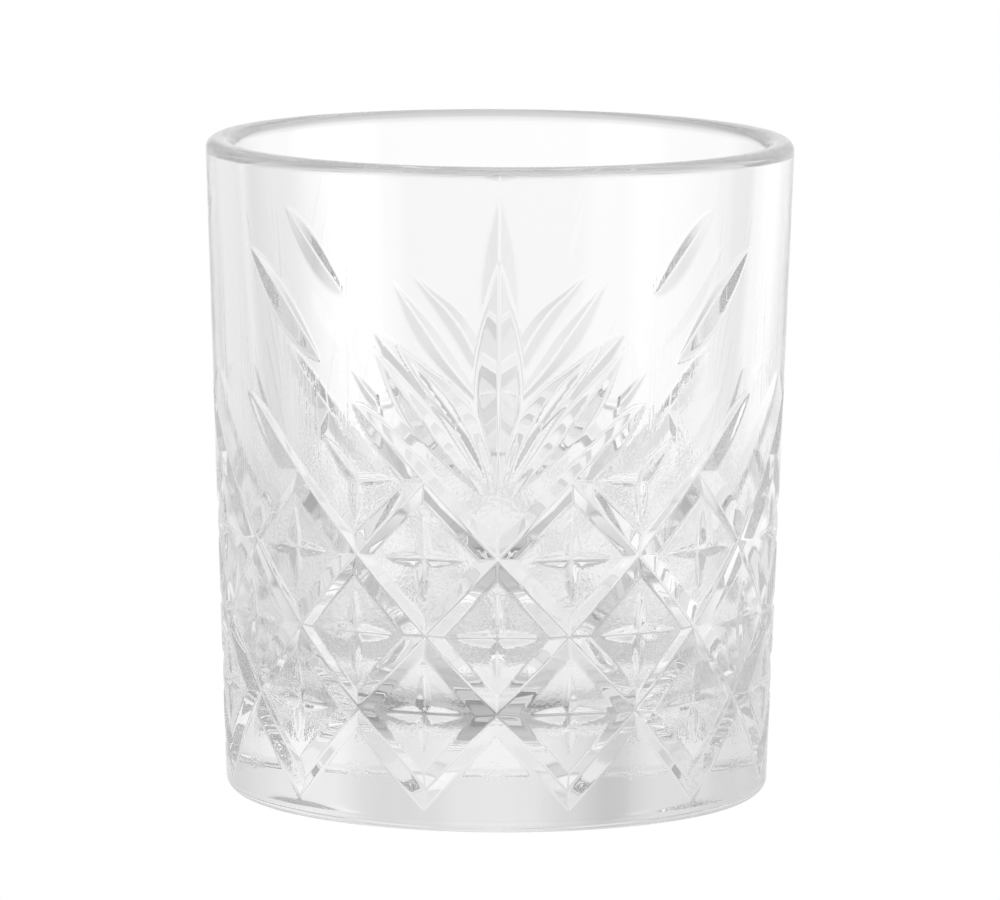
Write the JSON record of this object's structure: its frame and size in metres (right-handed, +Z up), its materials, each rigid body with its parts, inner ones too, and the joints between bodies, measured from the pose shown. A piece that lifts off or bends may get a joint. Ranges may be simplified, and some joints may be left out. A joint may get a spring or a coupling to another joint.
{
  "type": "whiskey tumbler",
  "caption": "Heavy clear pressed-glass tumbler with a thick base, a lattice of V-cuts with stars in its diamonds, spikes, and a leaf fan front and back.",
  "frame": {"origin": "centre of the foot, on the surface the tumbler stands on", "axes": "+Z up along the tumbler's axis, out of its mouth; -Y towards the front leaf fan; +X to the right seen from the front"},
  "size_m": [0.0858, 0.0858, 0.096],
  "materials": {
    "clear_glass": "polished, clear"
  },
  "bodies": {
    "root": {"tumbler_glass": "clear_glass"}
  },
  "joints": []
}
